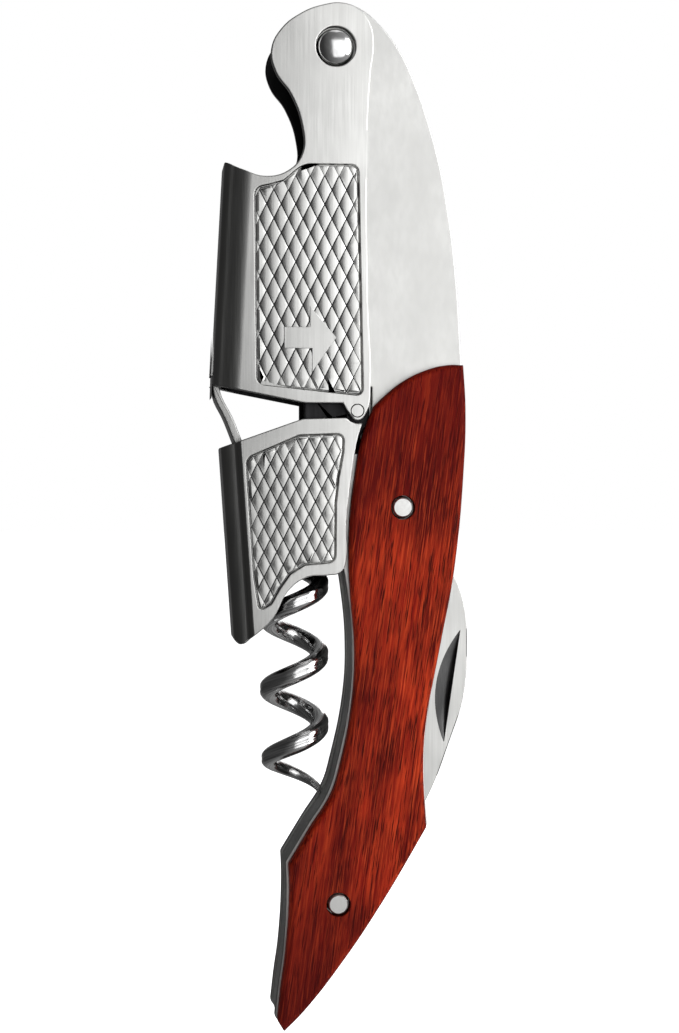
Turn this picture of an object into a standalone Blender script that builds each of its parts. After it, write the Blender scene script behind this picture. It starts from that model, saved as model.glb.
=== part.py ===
"""Double-lever waiter's corkscrew, built as an assembly of separate pieces.

Frame: +Z runs from the tail to the head, +X towards the knife, Y across the
handle.  Both wood scales mirror each other about Y = 0.  Outlines are drawn in
millimetres in the XZ plane, with the tail tip at Z = 0, on a drawing that is
DRAWN_LENGTH long; LENGTH and WIDTH stretch it, and every thickness, pin and
clearance keeps its own value.
"""

from math import atan2, cos, pi, sin, sqrt

import bmesh
import bpy
from mathutils import Matrix, Vector

MM = 0.001
WELD = 0.00001          # vertices nearer than this (m) are one

# ---- overall sizes (mm) ------------------------------------------------------
DRAWN_LENGTH = 125.5
LENGTH = 125.5
DRAWN_WIDTH = 32.0
WIDTH = 32.0

# ---- stack across the handle (mm) --------------------------------------------
BAY = 6.4               # gap between the two liners
LINER = 1.2
SCALE = 1.9             # wood thickness
SHEET = 1.0             # lever steel
SPINE_FLAT = 6.6        # width of the flat spine on both levers
BEAD_RISE = 1.5         # each spine corner is a round bead this high
BEAD_1 = 1.1            # depth of the bead on the first lever
BEAD_2 = 1.8            # depth of the bead on the second lever
FLANK_1 = 2.3           # sloping flank from the bead to the flat plate
FLANK_2 = 0.7
TONGUE = 6.6            # width of the first lever's foot
EAR = 0.9               # inner ear of the second lever
BLADE = 1.8

INNER_STEP = 0.1        # how much the inner flat is narrower than the outer one, on each side
PLATE_REACH = 24.0      # section depth before the side outline cuts it
SECTION_STEPS = 6
SPARE = 1.0             # how far a shape that is cut later runs past the cut

# ---- clearances (mm) ---------------------------------------------------------
STACK_GAP = 0.1         # between clamped layers
PIN_GAP = 0.1           # pin in a fixed hole, on the radius
TURN_GAP = 0.25         # pin in a turning hole, on the radius
SLIDE_GAP = 0.2         # liner to lever plate
COIL_GAP = 0.2          # worm's coil to the inside of a lever plate
RIVET_SINK = 0.05       # rivet face below the wood

# ---- pins (mm) ---------------------------------------------------------------
HEAD_PIN_R = 2.15
HEAD_PIN_DOME = 0.8
HEAD_PIN_RIM = 0.4      # below the lever's face, where the dome starts
DOME_STEPS = 6
PIN_CHAMFER = 0.12
RIVET_R = 1.22
STRIP_PIN_R = 0.5
HINGE_PIN_R = 0.75
AXLE_R = 1.5
BARREL_R = 2.3
KNIFE_SPACER_R = 3.0

# ---- worm (mm) ---------------------------------------------------------------
WORM_R = 4.4            # outer radius of the coil
WIRE_R = 1.2
PITCH = 8.7
SHANK = 4.5             # from the axle's centre down to the first turn
SHANK_TOP = 0.1         # the wire starts this far below the axle's centre
BORE_TOP = 0.4          # its bore starts this far above the centre
BORE_DEPTH = 3.45
SPREAD = 0.55           # turns taken to open out to the full radius
TAPER = 0.75            # turns of the pointed end
TIP_R = 0.15            # wire radius at the very tip
TIP_GAP = 0.65          # from the tip to the back strip
POINTS_PER_TURN = 18

# ---- drawing: centres (mm) ---------------------------------------------------
HEAD_PIVOT = (-0.55, 119.9)
HINGE = (2.1, 75.7)
STRIP_AT_TIP = (-1.2, 28.6)     # where the back strip passes the worm's tip
STRETCH_X = WIDTH / DRAWN_WIDTH
STRETCH_Z = LENGTH / DRAWN_LENGTH
WORM_REACH = WORM_R - WIRE_R + TIP_R + TIP_GAP
WORM_X = STRIP_AT_TIP[0] - WORM_REACH / STRETCH_X
WORM_PIVOT = (WORM_X, 66.5)
WORM_TIP_Z = 28.3
UPPER_RIVET = (7.6, 63.9)
KNIFE_PIVOT = (-0.3, 15.5)
STRIP_PINS = {"strip_pin_upper": (3.0, 67.3), "strip_pin_middle": (3.1, 47.0), "strip_pin_tail": (-6.3, 5.2)}

# ---- drawing: outlines, clockwise from the front; "c" marks a corner -----------
CRESCENT = [(0.5, 125.4), (2.7, 124.7), (5.3, 122.5), (7.4, 119.7), (9.3, 115.8), (11.7, 108.6),
            (13.4, 100.5), (14.5, 91.3), (15.1, 81.3)]
LINER_OUTLINE = CRESCENT + [
    (15.4, 75.0), (15.3, 68.8), (14.3, 56.4), (12.5, 46.8), (10.8, 37.3), (10.5, 32.0), (10.9, 24.8, "c"),
    (5.5, 15.9), (0.2, 8.2), (-4.6, 2.6), (-7.1, 0.3, "c"), (-8.0, 1.6, "c"),
    (-7.6, 5.1), (-7.0, 9.5), (-6.6, 17.0), (-6.7, 20.5, "c"), (-4.0, 24.9), (-1.5, 28.9), (-0.3, 32.8),
    (1.2, 40.4), (1.5, 46.5), (1.0, 53.0), (0.2, 57.5), (-1.2, 62.2),
    (WORM_X + 1.8, 63.9), (WORM_X, 63.5), (WORM_X - 2.4, 64.7), (WORM_X - 3.0, 66.9),
    (WORM_X - 1.8, 69.0), (WORM_X, 69.5), (WORM_X + 3.2, 69.7), (1.5, 70.4), (4.0, 70.6, "c"),
    (4.0, 78.6, "c"), (-3.0, 79.4, "c"), (-3.0, 99.0), (-3.2, 108.7), (-4.2, 114.5), (-5.0, 119.0),
    (-4.3, 122.6), (-2.3, 124.8)]
SPACER_OUTLINE = CRESCENT + [
    (15.3, 75.0), (15.1, 69.0), (13.6, 64.6), (10.6, 61.9), (7.6, 61.2), (5.4, 62.4), (5.0, 65.5),
    (4.9, 69.6), (3.6, 71.6), (3.4, 76.0), (3.6, 82.0), (6.0, 89.0), (7.8, 97.0), (7.0, 105.0),
    (5.2, 111.0), (2.4, 115.2), (-0.8, 115.7), (-4.0, 117.6), (-4.7, 120.6), (-2.9, 123.9)]
STRIP_OUTLINE = [
    (4.2, 69.9, "c"), (4.2, 60.0), (4.6, 53.8), (4.6, 46.5), (4.0, 40.4), (2.7, 33.0), (1.0, 28.0),
    (-1.6, 23.4), (-4.3, 19.6), (-4.7, 15.4), (-4.9, 10.0), (-5.4, 5.0), (-6.2, 1.2, "c"),
    (-7.0, 0.5, "c"), (-7.8, 1.7, "c"), (-7.4, 5.1), (-6.8, 9.5), (-6.4, 17.0), (-6.5, 20.4, "c"),
    (-3.8, 24.9), STRIP_AT_TIP, (0.0, 32.8), (1.4, 40.4), (1.7, 46.5), (1.3, 53.5), (1.1, 60.0),
    (1.4, 66.0), (2.2, 69.9, "c")]
SCALE_OUTLINE = [
    (4.1, 76.2, "c"), (5.9, 77.9), (7.9, 79.4), (10.6, 80.7), (13.2, 81.3), (15.1, 81.3, "c"),
    (15.4, 76.0), (15.2, 68.8), (14.0, 56.2), (12.2, 46.6), (10.5, 37.3), (10.2, 32.2), (10.6, 24.7, "c"),
    (5.3, 15.8), (0.0, 8.0), (-4.5, 2.4), (-6.9, 0.0, "c"), (-7.7, 1.3, "c"),
    (-7.3, 5.1), (-6.7, 9.5), (-6.2, 17.0), (-6.3, 20.4, "c"), (-3.6, 24.9), (-1.1, 28.9), (0.1, 32.8),
    (1.5, 40.4), (1.8, 46.5), (1.3, 53.0), (1.05, 58.0), (1.2, 62.8), (1.7, 67.0), (2.6, 72.1)]
KNIFE_OUTLINE = [
    (2.9, 14.0), (4.9, 17.6), (8.2, 22.6), (11.3, 27.4), (14.2, 34.7), (15.9, 40.1), (16.4, 46.6),
    (16.0, 51.7), (14.7, 55.4), (12.8, 58.2), (10.6, 59.8, "c"), (8.4, 56.5), (6.9, 50.0), (6.2, 44.0),
    (5.4, 38.0), (4.1, 32.0), (2.0, 26.5), (-1.0, 21.5), (-3.2, 18.4), (-3.8, 15.4), (-2.6, 12.8),
    (-0.3, 11.9), (1.8, 12.5)]
SPINE_1 = ((-15.5, 78.8), (-14.0, 106.0))
LEVER_1_OUTLINE = [
    (0.4, 125.2), (2.4, 124.4), (3.8, 122.4), (4.1, 120.0), (3.7, 116.5), (3.3, 108.0), (3.4, 89.0),
    (3.7, 78.5), (3.3, 75.7), (2.1, 74.5), (0.9, 75.6), (0.3, 76.6, "c"), (-4.3, 76.6, "c"),
    SPINE_1[0] + ("c",), SPINE_1[1] + ("c",), (-11.8, 104.9), (-9.2, 104.1), (-6.2, 104.9), (-4.6, 107.0),
    (-4.6, 110.0), (-6.0, 114.0), (-7.9, 116.7), (-8.4, 119.4), (-7.2, 121.9), (-4.7, 123.9), (-2.2, 124.9)]
FOOT_OUTLINE = [
    (-14.6, 80.2, "c"), (-14.5, 78.0), (-13.0, 74.9), (-11.8, 71.9, "c"), (-12.7, 71.5, "c"),
    (-13.95, 74.7), (-15.3, 77.6), (-15.45, 80.2, "c")]
SPINE_2 = ((-12.9, 47.7), (-14.5, 71.2))
LEVER_2_OUTLINE = [
    (0.75, 74.85, "c"), (1.3, 74.4), (2.1, 74.15), (2.75, 74.3, "c"), (2.1, 72.1), (1.3, 67.0), (0.75, 62.0),
    (0.72, 57.4), (0.1, 56.0), (-1.6, 55.6), (-4.0, 55.4), (-6.3, 53.8), (-8.2, 50.4), (-10.6, 48.2),
    (-12.1, 47.2), SPINE_2[0] + ("c",), SPINE_2[1] + ("c",), (-4.6, 74.7, "c")]
INNER_EAR_OUTLINE = [
    (-4.3, 77.3, "c"), (1.6, 77.6), (3.2, 76.8), (3.7, 75.5), (3.1, 73.6), (1.9, 71.7, "c"),
    (-4.3, 71.7, "c")]
BRIDGE_OUTLINE = [(-4.0, 73.9, "c"), (0.4, 73.9, "c"), (0.4, 72.0, "c"), (-4.0, 72.0, "c")]

# ---- layers, worked out from the stack ----------------------------------------
LINER_IN = BAY / 2
LINER_OUT = LINER_IN + LINER
WOOD_IN = LINER_OUT + STACK_GAP
WOOD_OUT = WOOD_IN + SCALE
LEVER_IN = max(LINER_OUT + SLIDE_GAP, WORM_R + COIL_GAP)
LEVER_OUT = LEVER_IN + SHEET
FILLER_HALF = LINER_IN - STACK_GAP
EAR_OUT = LINER_OUT
EAR_IN = EAR_OUT - EAR
SIDES = {"front": -1, "back": 1}

COLOURS = {
    "satin_steel": ((0.72, 0.72, 0.71), 0.32, 1.0),
    "bright_steel": ((0.80, 0.80, 0.80), 0.18, 1.0),
    "polished_steel": ((0.62, 0.62, 0.62), 0.10, 1.0),
    "red_wood": ((0.34, 0.05, 0.02), 0.45, 0.0),
}


def at(x, z, y=0.0):
    """A drawing point in metres, stretched to LENGTH and WIDTH."""
    return Vector((x * STRETCH_X * MM, y * MM, z * STRETCH_Z * MM))


def clear_scene():
    for item in list(bpy.data.objects):
        bpy.data.objects.remove(item, do_unlink=True)


def collection(name, hidden=False):
    group = bpy.data.collections.new(name)
    bpy.context.scene.collection.children.link(group)
    group.hide_render = hidden
    return group


def material(name, look):
    colour, roughness, metallic = COLOURS[look]
    made = bpy.data.materials.new(name + "_" + look)
    made.use_nodes = True
    shader = made.node_tree.nodes["Principled BSDF"]
    shader.inputs["Base Color"].default_value = (*colour, 1.0)
    shader.inputs["Roughness"].default_value = roughness
    shader.inputs["Metallic"].default_value = metallic
    return made


def add_spline(curve, points, cyclic=True):
    """One Bezier spline: smooth points get AUTO handles and corners get VECTOR ones."""
    spline = curve.splines.new("BEZIER")
    spline.bezier_points.add(len(points) - 1)
    for knot, point in zip(spline.bezier_points, points):
        kind = "VECTOR" if len(point) > 2 else "AUTO"
        knot.co = (point[0], point[1], 0.0)
        knot.handle_left_type = kind
        knot.handle_right_type = kind
    spline.use_cyclic_u = cyclic


def stretched(outline):
    return [(at(p[0], p[1]).x, at(p[0], p[1]).z) + tuple(p[2:]) for p in outline]


def circle(centre, radius):
    middle = at(*centre)
    r = radius * MM
    return [(middle.x + r * cos(a * pi / 4), middle.z + r * sin(a * pi / 4)) for a in range(8)]


def plate(name, outline, y_low, y_high, holes=(), steps=5):
    """A flat outline with round holes, extruded from y_low to y_high (mm)."""
    curve = bpy.data.curves.new(name, "CURVE")
    curve.dimensions = "2D"
    curve.fill_mode = "BOTH"
    curve.resolution_u = steps
    curve.extrude = (y_high - y_low) / 2 * MM
    add_spline(curve, stretched(outline))
    for centre, radius in holes:
        add_spline(curve, circle(centre, radius))
    shape = bpy.data.objects.new(name, curve)
    PIECES.objects.link(shape)
    shape.rotation_euler = (pi / 2, 0, 0)
    shape.location = (0, (y_low + y_high) / 2 * MM, 0)
    return to_mesh(shape)


def to_mesh(shape):
    """The evaluated curve as a welded mesh object of the same name."""
    bpy.context.view_layer.update()
    graph = bpy.context.evaluated_depsgraph_get()
    mesh = bpy.data.meshes.new_from_object(shape.evaluated_get(graph))
    matrix = shape.matrix_world.copy()
    name = shape.name
    bpy.data.objects.remove(shape, do_unlink=True)
    made = bpy.data.objects.new(name, mesh)
    PIECES.objects.link(made)
    made.matrix_world = matrix
    work = bmesh.new()
    work.from_mesh(mesh)
    bmesh.ops.remove_doubles(work, verts=work.verts, dist=WELD)
    bmesh.ops.recalc_face_normals(work, faces=work.faces)
    work.to_mesh(mesh)
    work.free()
    return made


def turned(name, centre, profile, sides=32):
    """A round piece on the Y axis: profile is (radius, y) in mm, from low y to high y."""
    mesh = bpy.data.meshes.new(name)
    work = bmesh.new()
    knots = [work.verts.new((radius * MM, 0, y * MM)) for radius, y in profile]
    for first, second in zip(knots, knots[1:]):
        work.edges.new((first, second))
    closed = profile[0][0] > 0 and profile[-1][0] > 0
    if closed:
        work.edges.new((knots[-1], knots[0]))
    bmesh.ops.spin(work, geom=work.verts[:] + work.edges[:], cent=(0, 0, 0), axis=(0, 0, 1), angle=2 * pi,
                   steps=sides, use_merge=True)
    bmesh.ops.remove_doubles(work, verts=work.verts, dist=WELD)
    bmesh.ops.recalc_face_normals(work, faces=work.faces)
    work.to_mesh(mesh)
    work.free()
    made = bpy.data.objects.new(name, mesh)
    PIECES.objects.link(made)
    made.rotation_euler = (-pi / 2, 0, 0)
    made.location = at(*centre)
    return made


def pin(name, centre, radius, half):
    face = radius - PIN_CHAMFER
    side = half - PIN_CHAMFER
    profile = [(0, -half), (face, -half), (radius, -side), (radius, side), (face, half), (0, half)]
    return turned(name, centre, profile)


def combine(target, tool, operation):
    """Boolean with the tool kept as a cutter."""
    PIECES.objects.unlink(tool)
    CUTTERS.objects.link(tool)
    tool.display_type = "WIRE"
    tool.hide_render = True
    step = target.modifiers.new(operation.lower() + "_" + tool.name, "BOOLEAN")
    step.operation = operation
    step.solver = "EXACT"
    step.object = tool


def finish(piece, look, parent):
    """Names the material and hangs the piece on its body's empty, keeping its place."""
    piece.data.materials.clear()
    piece.data.materials.append(material(piece.name, look))
    bpy.context.view_layer.update()
    matrix = piece.matrix_world.copy()
    piece.parent = parent
    piece.matrix_parent_inverse = parent.matrix_world.inverted()
    piece.matrix_world = matrix


def pivot(name, centre, parent):
    empty = bpy.data.objects.new(name, None)
    PIECES.objects.link(empty)
    empty.empty_display_size = 0.008
    empty.location = at(*centre)
    bpy.context.view_layer.update()
    if parent:
        matrix = empty.matrix_world.copy()
        empty.parent = parent
        empty.matrix_parent_inverse = parent.matrix_world.inverted()
        empty.matrix_world = matrix
    return empty


# ---- fixed pieces of the handle ------------------------------------------------

def make_liners(body):
    holes = [(HEAD_PIVOT, HEAD_PIN_R + PIN_GAP), (UPPER_RIVET, RIVET_R + PIN_GAP),
             (KNIFE_PIVOT, RIVET_R + PIN_GAP), (WORM_PIVOT, AXLE_R + PIN_GAP)]
    holes += [(centre, STRIP_PIN_R + PIN_GAP) for centre in STRIP_PINS.values()]
    for side, sign in SIDES.items():
        low, high = sorted((sign * LINER_IN, sign * LINER_OUT))
        finish(plate("liner_" + side, LINER_OUTLINE, low, high, holes), "satin_steel", body)


def make_fillers(body):
    spacer = plate("head_spacer", SPACER_OUTLINE, -FILLER_HALF, FILLER_HALF,
                   [(HEAD_PIVOT, HEAD_PIN_R + PIN_GAP), (UPPER_RIVET, RIVET_R + PIN_GAP)])
    finish(spacer, "satin_steel", body)
    holes = [(centre, STRIP_PIN_R + PIN_GAP) for centre in STRIP_PINS.values()]
    strip = plate("back_strip", STRIP_OUTLINE, -FILLER_HALF, FILLER_HALF, holes)
    finish(strip, "satin_steel", body)


def make_scales(body):
    holes = [(UPPER_RIVET, RIVET_R + TURN_GAP), (KNIFE_PIVOT, RIVET_R + TURN_GAP)]
    for side, sign in SIDES.items():
        low, high = sorted((sign * WOOD_IN, sign * WOOD_OUT))
        finish(plate("scale_" + side, SCALE_OUTLINE, low, high, holes), "red_wood", body)


def make_pins(body):
    reach = WOOD_OUT - RIVET_SINK
    finish(pin("upper_rivet", UPPER_RIVET, RIVET_R, reach), "bright_steel", body)
    finish(pin("knife_rivet", KNIFE_PIVOT, RIVET_R, reach), "bright_steel", body)
    for name, centre in STRIP_PINS.items():
        finish(pin(name, centre, STRIP_PIN_R, LINER_OUT), "bright_steel", body)
    rim = LEVER_OUT - HEAD_PIN_RIM
    turns = [step / DOME_STEPS * pi / 2 for step in range(DOME_STEPS)]
    dome = [(HEAD_PIN_R * cos(a), rim + HEAD_PIN_DOME * sin(a)) for a in turns]
    dome.append((0, rim + HEAD_PIN_DOME))
    profile = [(radius, -y) for radius, y in reversed(dome)] + dome
    finish(turned("head_pin", HEAD_PIVOT, profile), "polished_steel", body)


# ---- levers --------------------------------------------------------------------

def lever_section(name, spine, outline, bead, flank):
    """A U-shaped sheet section swept along the spine line, past both ends of the side outline.

    It has a flat spine, a round bead on each side, a sloping flank and two plates.
    """
    start = at(*spine[0])
    along = (at(*spine[1]) - start).normalized()
    spans = [(at(p[0], p[1]) - start).dot(along) for p in outline]
    flat = SPINE_FLAT / 2
    crease = flat + BEAD_RISE
    turns = [step / SECTION_STEPS * pi / 2 for step in range(SECTION_STEPS + 1)]
    outer = [(bead * (1 - cos(a)), flat + BEAD_RISE * sin(a)) for a in turns]
    outer += [(bead + flank * a * 2 / pi, crease + (LEVER_OUT - crease) * sin(a)) for a in turns[1:]]
    inner_flat = flat - INNER_STEP
    depth = bead + flank - INNER_STEP
    inner = [(SHEET + depth * (1 - cos(a)), inner_flat + (LEVER_IN - inner_flat) * sin(a)) for a in turns]
    half = outer + [(PLATE_REACH, LEVER_OUT), (PLATE_REACH, LEVER_IN)] + list(reversed(inner))
    section = half + [(u, -v) for u, v in reversed(half)]
    curve = bpy.data.curves.new(name, "CURVE")
    curve.dimensions = "2D"
    curve.fill_mode = "BOTH"
    curve.extrude = (max(spans) - min(spans)) / 2 + SPARE * MM
    spline = curve.splines.new("POLY")
    spline.points.add(len(section) - 1)
    for knot, (u, v) in zip(spline.points, section):
        knot.co = (u * MM, v * MM, 0, 1)
    spline.use_cyclic_u = True
    shape = bpy.data.objects.new(name, curve)
    PIECES.objects.link(shape)
    shape.rotation_euler = (0, atan2(along.x, along.z), 0)
    shape.location = start + along * (min(spans) + max(spans)) / 2
    return to_mesh(shape)


def make_first_lever(body):
    width = LEVER_OUT + SPARE
    lever = lever_section("lever_first", SPINE_1, LEVER_1_OUTLINE, BEAD_1, FLANK_1)
    holes = [(HEAD_PIVOT, HEAD_PIN_R + TURN_GAP), (HINGE, HINGE_PIN_R + PIN_GAP)]
    combine(lever, plate("first_lever_side", LEVER_1_OUTLINE, -width, width, holes), "INTERSECT")
    combine(lever, plate("first_lever_foot", FOOT_OUTLINE, -TONGUE / 2, TONGUE / 2), "UNION")
    finish(lever, "satin_steel", body)


def make_second_lever(body):
    width = LEVER_OUT + SPARE
    lever = lever_section("lever_second", SPINE_2, LEVER_2_OUTLINE, BEAD_2, FLANK_2)
    combine(lever, plate("second_lever_side", LEVER_2_OUTLINE, -width, width), "INTERSECT")
    for side, sign in SIDES.items():
        low, high = sorted((sign * EAR_IN, sign * EAR_OUT))
        ear = plate("inner_ear_" + side, INNER_EAR_OUTLINE, low, high, [(HINGE, HINGE_PIN_R + TURN_GAP)])
        combine(lever, ear, "UNION")
        low, high = sorted((sign * (EAR_OUT - EAR / 2), sign * (LEVER_IN + SHEET / 2)))
        combine(lever, plate("ear_bridge_" + side, BRIDGE_OUTLINE, low, high), "UNION")
    finish(lever, "satin_steel", body)


# ---- worm ----------------------------------------------------------------------

def worm_points():
    """The wire's centre line from the axle to the tip, with its radius at each point."""
    axis = at(*WORM_PIVOT)
    tip = at(WORM_PIVOT[0], WORM_TIP_Z)
    top = axis.z - SHANK * MM
    mean = (WORM_R - WIRE_R) * MM
    turns = (top - tip.z) / (PITCH * MM)
    count = int(turns * POINTS_PER_TURN)
    points = [(axis - Vector((0, 0, SHANK_TOP * MM)), 1.0)]
    for step in range(count + 1):
        turn = turns * (1 - step / count)
        from_top = turns - turn
        open_out = min(1.0, from_top / SPREAD)
        radius = mean * (3 - 2 * open_out) * open_out ** 2
        thick = min(1.0, TIP_R / WIRE_R + (1 - TIP_R / WIRE_R) * sqrt(turn / TAPER))
        angle = 2 * pi * turn
        place = Vector((radius * cos(angle), radius * sin(angle), tip.z - axis.z + turn * PITCH * MM))
        points.append((axis + place, thick))
    return points


def make_worm(body):
    curve = bpy.data.curves.new("worm", "CURVE")
    curve.dimensions = "3D"
    curve.bevel_depth = WIRE_R * MM
    curve.bevel_resolution = 2
    curve.use_fill_caps = True
    spline = curve.splines.new("POLY")
    points = worm_points()
    spline.points.add(len(points) - 1)
    for knot, (place, thick) in zip(spline.points, points):
        knot.co = (*place, 1)
        knot.radius = thick
    shape = bpy.data.objects.new("worm", curve)
    PIECES.objects.link(shape)
    finish(to_mesh(shape), "polished_steel", body)


def make_worm_axle(body):
    shoulder = FILLER_HALF
    end = LINER_OUT
    profile = [(0, -end), (AXLE_R, -end), (AXLE_R, -shoulder), (BARREL_R, -shoulder), (BARREL_R, shoulder),
               (AXLE_R, shoulder), (AXLE_R, end), (0, end)]
    axle = turned("worm_axle", WORM_PIVOT, profile)
    middle = at(*WORM_PIVOT) - Vector((0, 0, (BORE_DEPTH / 2 - BORE_TOP) * MM))
    bpy.ops.mesh.primitive_cylinder_add(vertices=24, radius=(WIRE_R + PIN_GAP) * MM, depth=BORE_DEPTH * MM,
                                        location=middle)
    bore = bpy.context.object
    bore.name = "worm_shank_bore"
    for group in list(bore.users_collection):
        group.objects.unlink(bore)
    PIECES.objects.link(bore)
    combine(axle, bore, "DIFFERENCE")
    finish(axle, "bright_steel", body)


# ---- knife ---------------------------------------------------------------------

def make_knife(body):
    half = BLADE / 2
    blade = plate("knife_blade", KNIFE_OUTLINE, -half, half, [(KNIFE_PIVOT, RIVET_R + PIN_GAP)])
    finish(blade, "bright_steel", body)


def make_knife_spacers(body):
    inner = RIVET_R + PIN_GAP
    for side, sign in SIDES.items():
        near = BLADE / 2 + STACK_GAP
        far = LINER_IN - STACK_GAP
        low, high = sorted((sign * near, sign * far))
        ring = [(inner, low), (KNIFE_SPACER_R, low), (KNIFE_SPACER_R, high), (inner, high)]
        finish(turned("knife_spacer_" + side, KNIFE_PIVOT, ring), "bright_steel", body)


def centre_on_box(frame):
    """Moves the whole assembly so that the middle of its box is the origin."""
    bpy.context.view_layer.update()
    graph = bpy.context.evaluated_depsgraph_get()
    low = Vector((1e9, 1e9, 1e9))
    high = -low
    for piece in PIECES.objects:
        if piece.type != "MESH":
            continue
        solid = piece.evaluated_get(graph)
        mesh = solid.to_mesh()
        for vertex in mesh.vertices:
            place = solid.matrix_world @ vertex.co
            low = Vector(map(min, low, place))
            high = Vector(map(max, high, place))
        solid.to_mesh_clear()
    shift = (low + high) / 2
    frame.location = frame.location - shift
    for cutter in CUTTERS.objects:
        cutter.parent = frame
    bpy.context.view_layer.update()


clear_scene()
PIECES = collection("waiters_corkscrew")
CUTTERS = collection("cutters", hidden=True)

frame_empty = pivot("corkscrew_frame", (0.0, 0.0), None)
lever_pivot = pivot("lever_pivot", HEAD_PIVOT, frame_empty)
second_lever_pivot = pivot("second_lever_pivot", HINGE, lever_pivot)
worm_pivot = pivot("worm_pivot", WORM_PIVOT, frame_empty)
knife_pivot = pivot("knife_pivot", KNIFE_PIVOT, frame_empty)

make_liners(frame_empty)
make_fillers(frame_empty)
make_scales(frame_empty)
make_pins(frame_empty)
make_knife_spacers(frame_empty)
make_first_lever(lever_pivot)
finish(pin("lever_hinge_pin", HINGE, HINGE_PIN_R, LEVER_OUT), "bright_steel", lever_pivot)
make_second_lever(second_lever_pivot)
make_worm(worm_pivot)
make_worm_axle(worm_pivot)
make_knife(knife_pivot)
centre_on_box(frame_empty)
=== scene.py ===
"""Looks of a double-lever waiter's corkscrew, laid out as an add-on and run as a script.

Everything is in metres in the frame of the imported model.  Drawing points are
given in millimetres as (x, z) with the tail tip at z = 0, and spot() moves them
into that frame.
"""

from math import cos, pi, radians, sin, sqrt

import bmesh
import bpy
from bpy.props import FloatProperty, FloatVectorProperty, IntProperty, PointerProperty
from mathutils import Matrix, Vector


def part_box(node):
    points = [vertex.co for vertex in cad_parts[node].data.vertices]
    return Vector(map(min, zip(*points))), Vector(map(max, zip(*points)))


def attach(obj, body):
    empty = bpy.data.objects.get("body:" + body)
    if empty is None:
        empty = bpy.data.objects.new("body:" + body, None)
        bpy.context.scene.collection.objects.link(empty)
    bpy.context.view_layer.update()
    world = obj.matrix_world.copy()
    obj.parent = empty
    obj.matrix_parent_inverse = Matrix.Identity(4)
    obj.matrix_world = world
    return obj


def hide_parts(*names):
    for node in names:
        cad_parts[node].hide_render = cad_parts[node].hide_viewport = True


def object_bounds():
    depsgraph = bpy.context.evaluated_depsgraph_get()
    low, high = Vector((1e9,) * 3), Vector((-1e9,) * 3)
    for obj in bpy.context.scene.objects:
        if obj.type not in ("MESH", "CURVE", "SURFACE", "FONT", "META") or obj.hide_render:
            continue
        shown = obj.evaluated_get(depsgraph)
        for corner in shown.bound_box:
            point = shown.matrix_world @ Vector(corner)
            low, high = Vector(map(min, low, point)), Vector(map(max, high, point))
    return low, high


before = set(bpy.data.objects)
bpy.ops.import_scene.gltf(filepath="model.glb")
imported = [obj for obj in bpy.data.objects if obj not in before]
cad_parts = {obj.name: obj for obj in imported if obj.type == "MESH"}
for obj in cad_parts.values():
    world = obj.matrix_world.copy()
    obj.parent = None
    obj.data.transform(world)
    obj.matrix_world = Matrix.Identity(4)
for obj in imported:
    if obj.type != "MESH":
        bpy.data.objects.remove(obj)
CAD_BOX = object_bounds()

bl_info = {
    "name": "Waiter's corkscrew",
    "version": (1, 0, 0),
    "blender": (4, 5, 0),
    "location": "3D View > Sidebar > Corkscrew",
    "description": "Makes the visible pieces of a double-lever corkscrew around its packed model",
    "category": "Add Mesh",
}

MM = 0.001
WELD = 0.00001              # vertices nearer than this are one
FLAT = radians(0.6)         # faces that meet at less than this are one flat face
SHARP = radians(32)         # edges that bend more than this are real edges
SIDES = ("front", "back")

# ---- places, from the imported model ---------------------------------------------
HEAD_PIVOT = (-0.55, 119.9)
HINGE = (2.1, 75.7)
RIVETS = [(7.6, 63.9), (-0.3, 15.5)]
_LOW, _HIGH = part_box("head_pin")
ORIGIN = (_LOW + _HIGH) / 2 - Vector((HEAD_PIVOT[0], 0, HEAD_PIVOT[1])) * MM
LEVER_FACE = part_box("lever_first")[1].y
WOOD_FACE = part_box("scale_back")[1].y
BLADE_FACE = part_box("knife_blade")[1].y
LINER_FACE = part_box("liner_back")[1].y

# ---- grip panels, drawing mm, clockwise ------------------------------------------
PANEL_1 = [(-10.45, 102.7), (-8.6, 103.1), (-6.9, 103.6), (-5.6, 104.7), (-4.5, 105.6), (2.2, 105.6),
           (2.75, 77.5), (-10.2, 78.9)]
PANEL_2 = [(-11.55, 69.9), (-5.0, 72.7), (0.45, 72.9), (0.35, 70.6), (-0.2, 67.6), (-0.55, 64.4),
           (-0.6, 57.2),
           (-4.3, 56.9), (-6.1, 55.8), (-7.4, 54.0), (-8.4, 52.2), (-9.95, 51.2), (-10.6, 55.6), (-11.3, 66.0)]
ARROW = [(-6.85, 85.85), (-3.7, 85.85), (-3.7, 88.4), (-0.5, 84.6), (-3.45, 80.3), (-3.45, 83.25),
         (-6.85, 83.25)]

# ---- nail nick, drawing mm --------------------------------------------------------
NICK_TOP = (15.2, 48.4)
NICK_FOOT = (13.2, 34.7)

# ---- worm, drawing mm unless said otherwise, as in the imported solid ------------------
WORM_TOP = (-5.2, 66.5)     # middle of the axle
WORM_TIP_Z = 28.3
WORM_R = 4.4
WIRE_R = 1.2
PITCH = 8.7
SHANK = 4.5                 # straight wire below the axle
SHANK_STEPS = 6
SPREAD = 0.55               # turns in which the coil opens out
TAPER = 0.75                # turns in which the wire thins to its point
TIP_R = 0.15
WIRE_SIDES = 24
FLUTE_START = 0.93          # the flute cuts off what lies beyond this share of the wire's radius

# ---- inside of a folded lever, which takes painted shade, distances in metres -----------
INSIDE = LEVER_FACE - 0.85 * MM             # nearer the middle than this is the lever's inside
EARS = (LINER_FACE - 0.95 * MM, LINER_FACE + 0.05 * MM)
EARS_CORNER = (-5, 78)                      # the inner ears lie right of and below this drawing point

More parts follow.
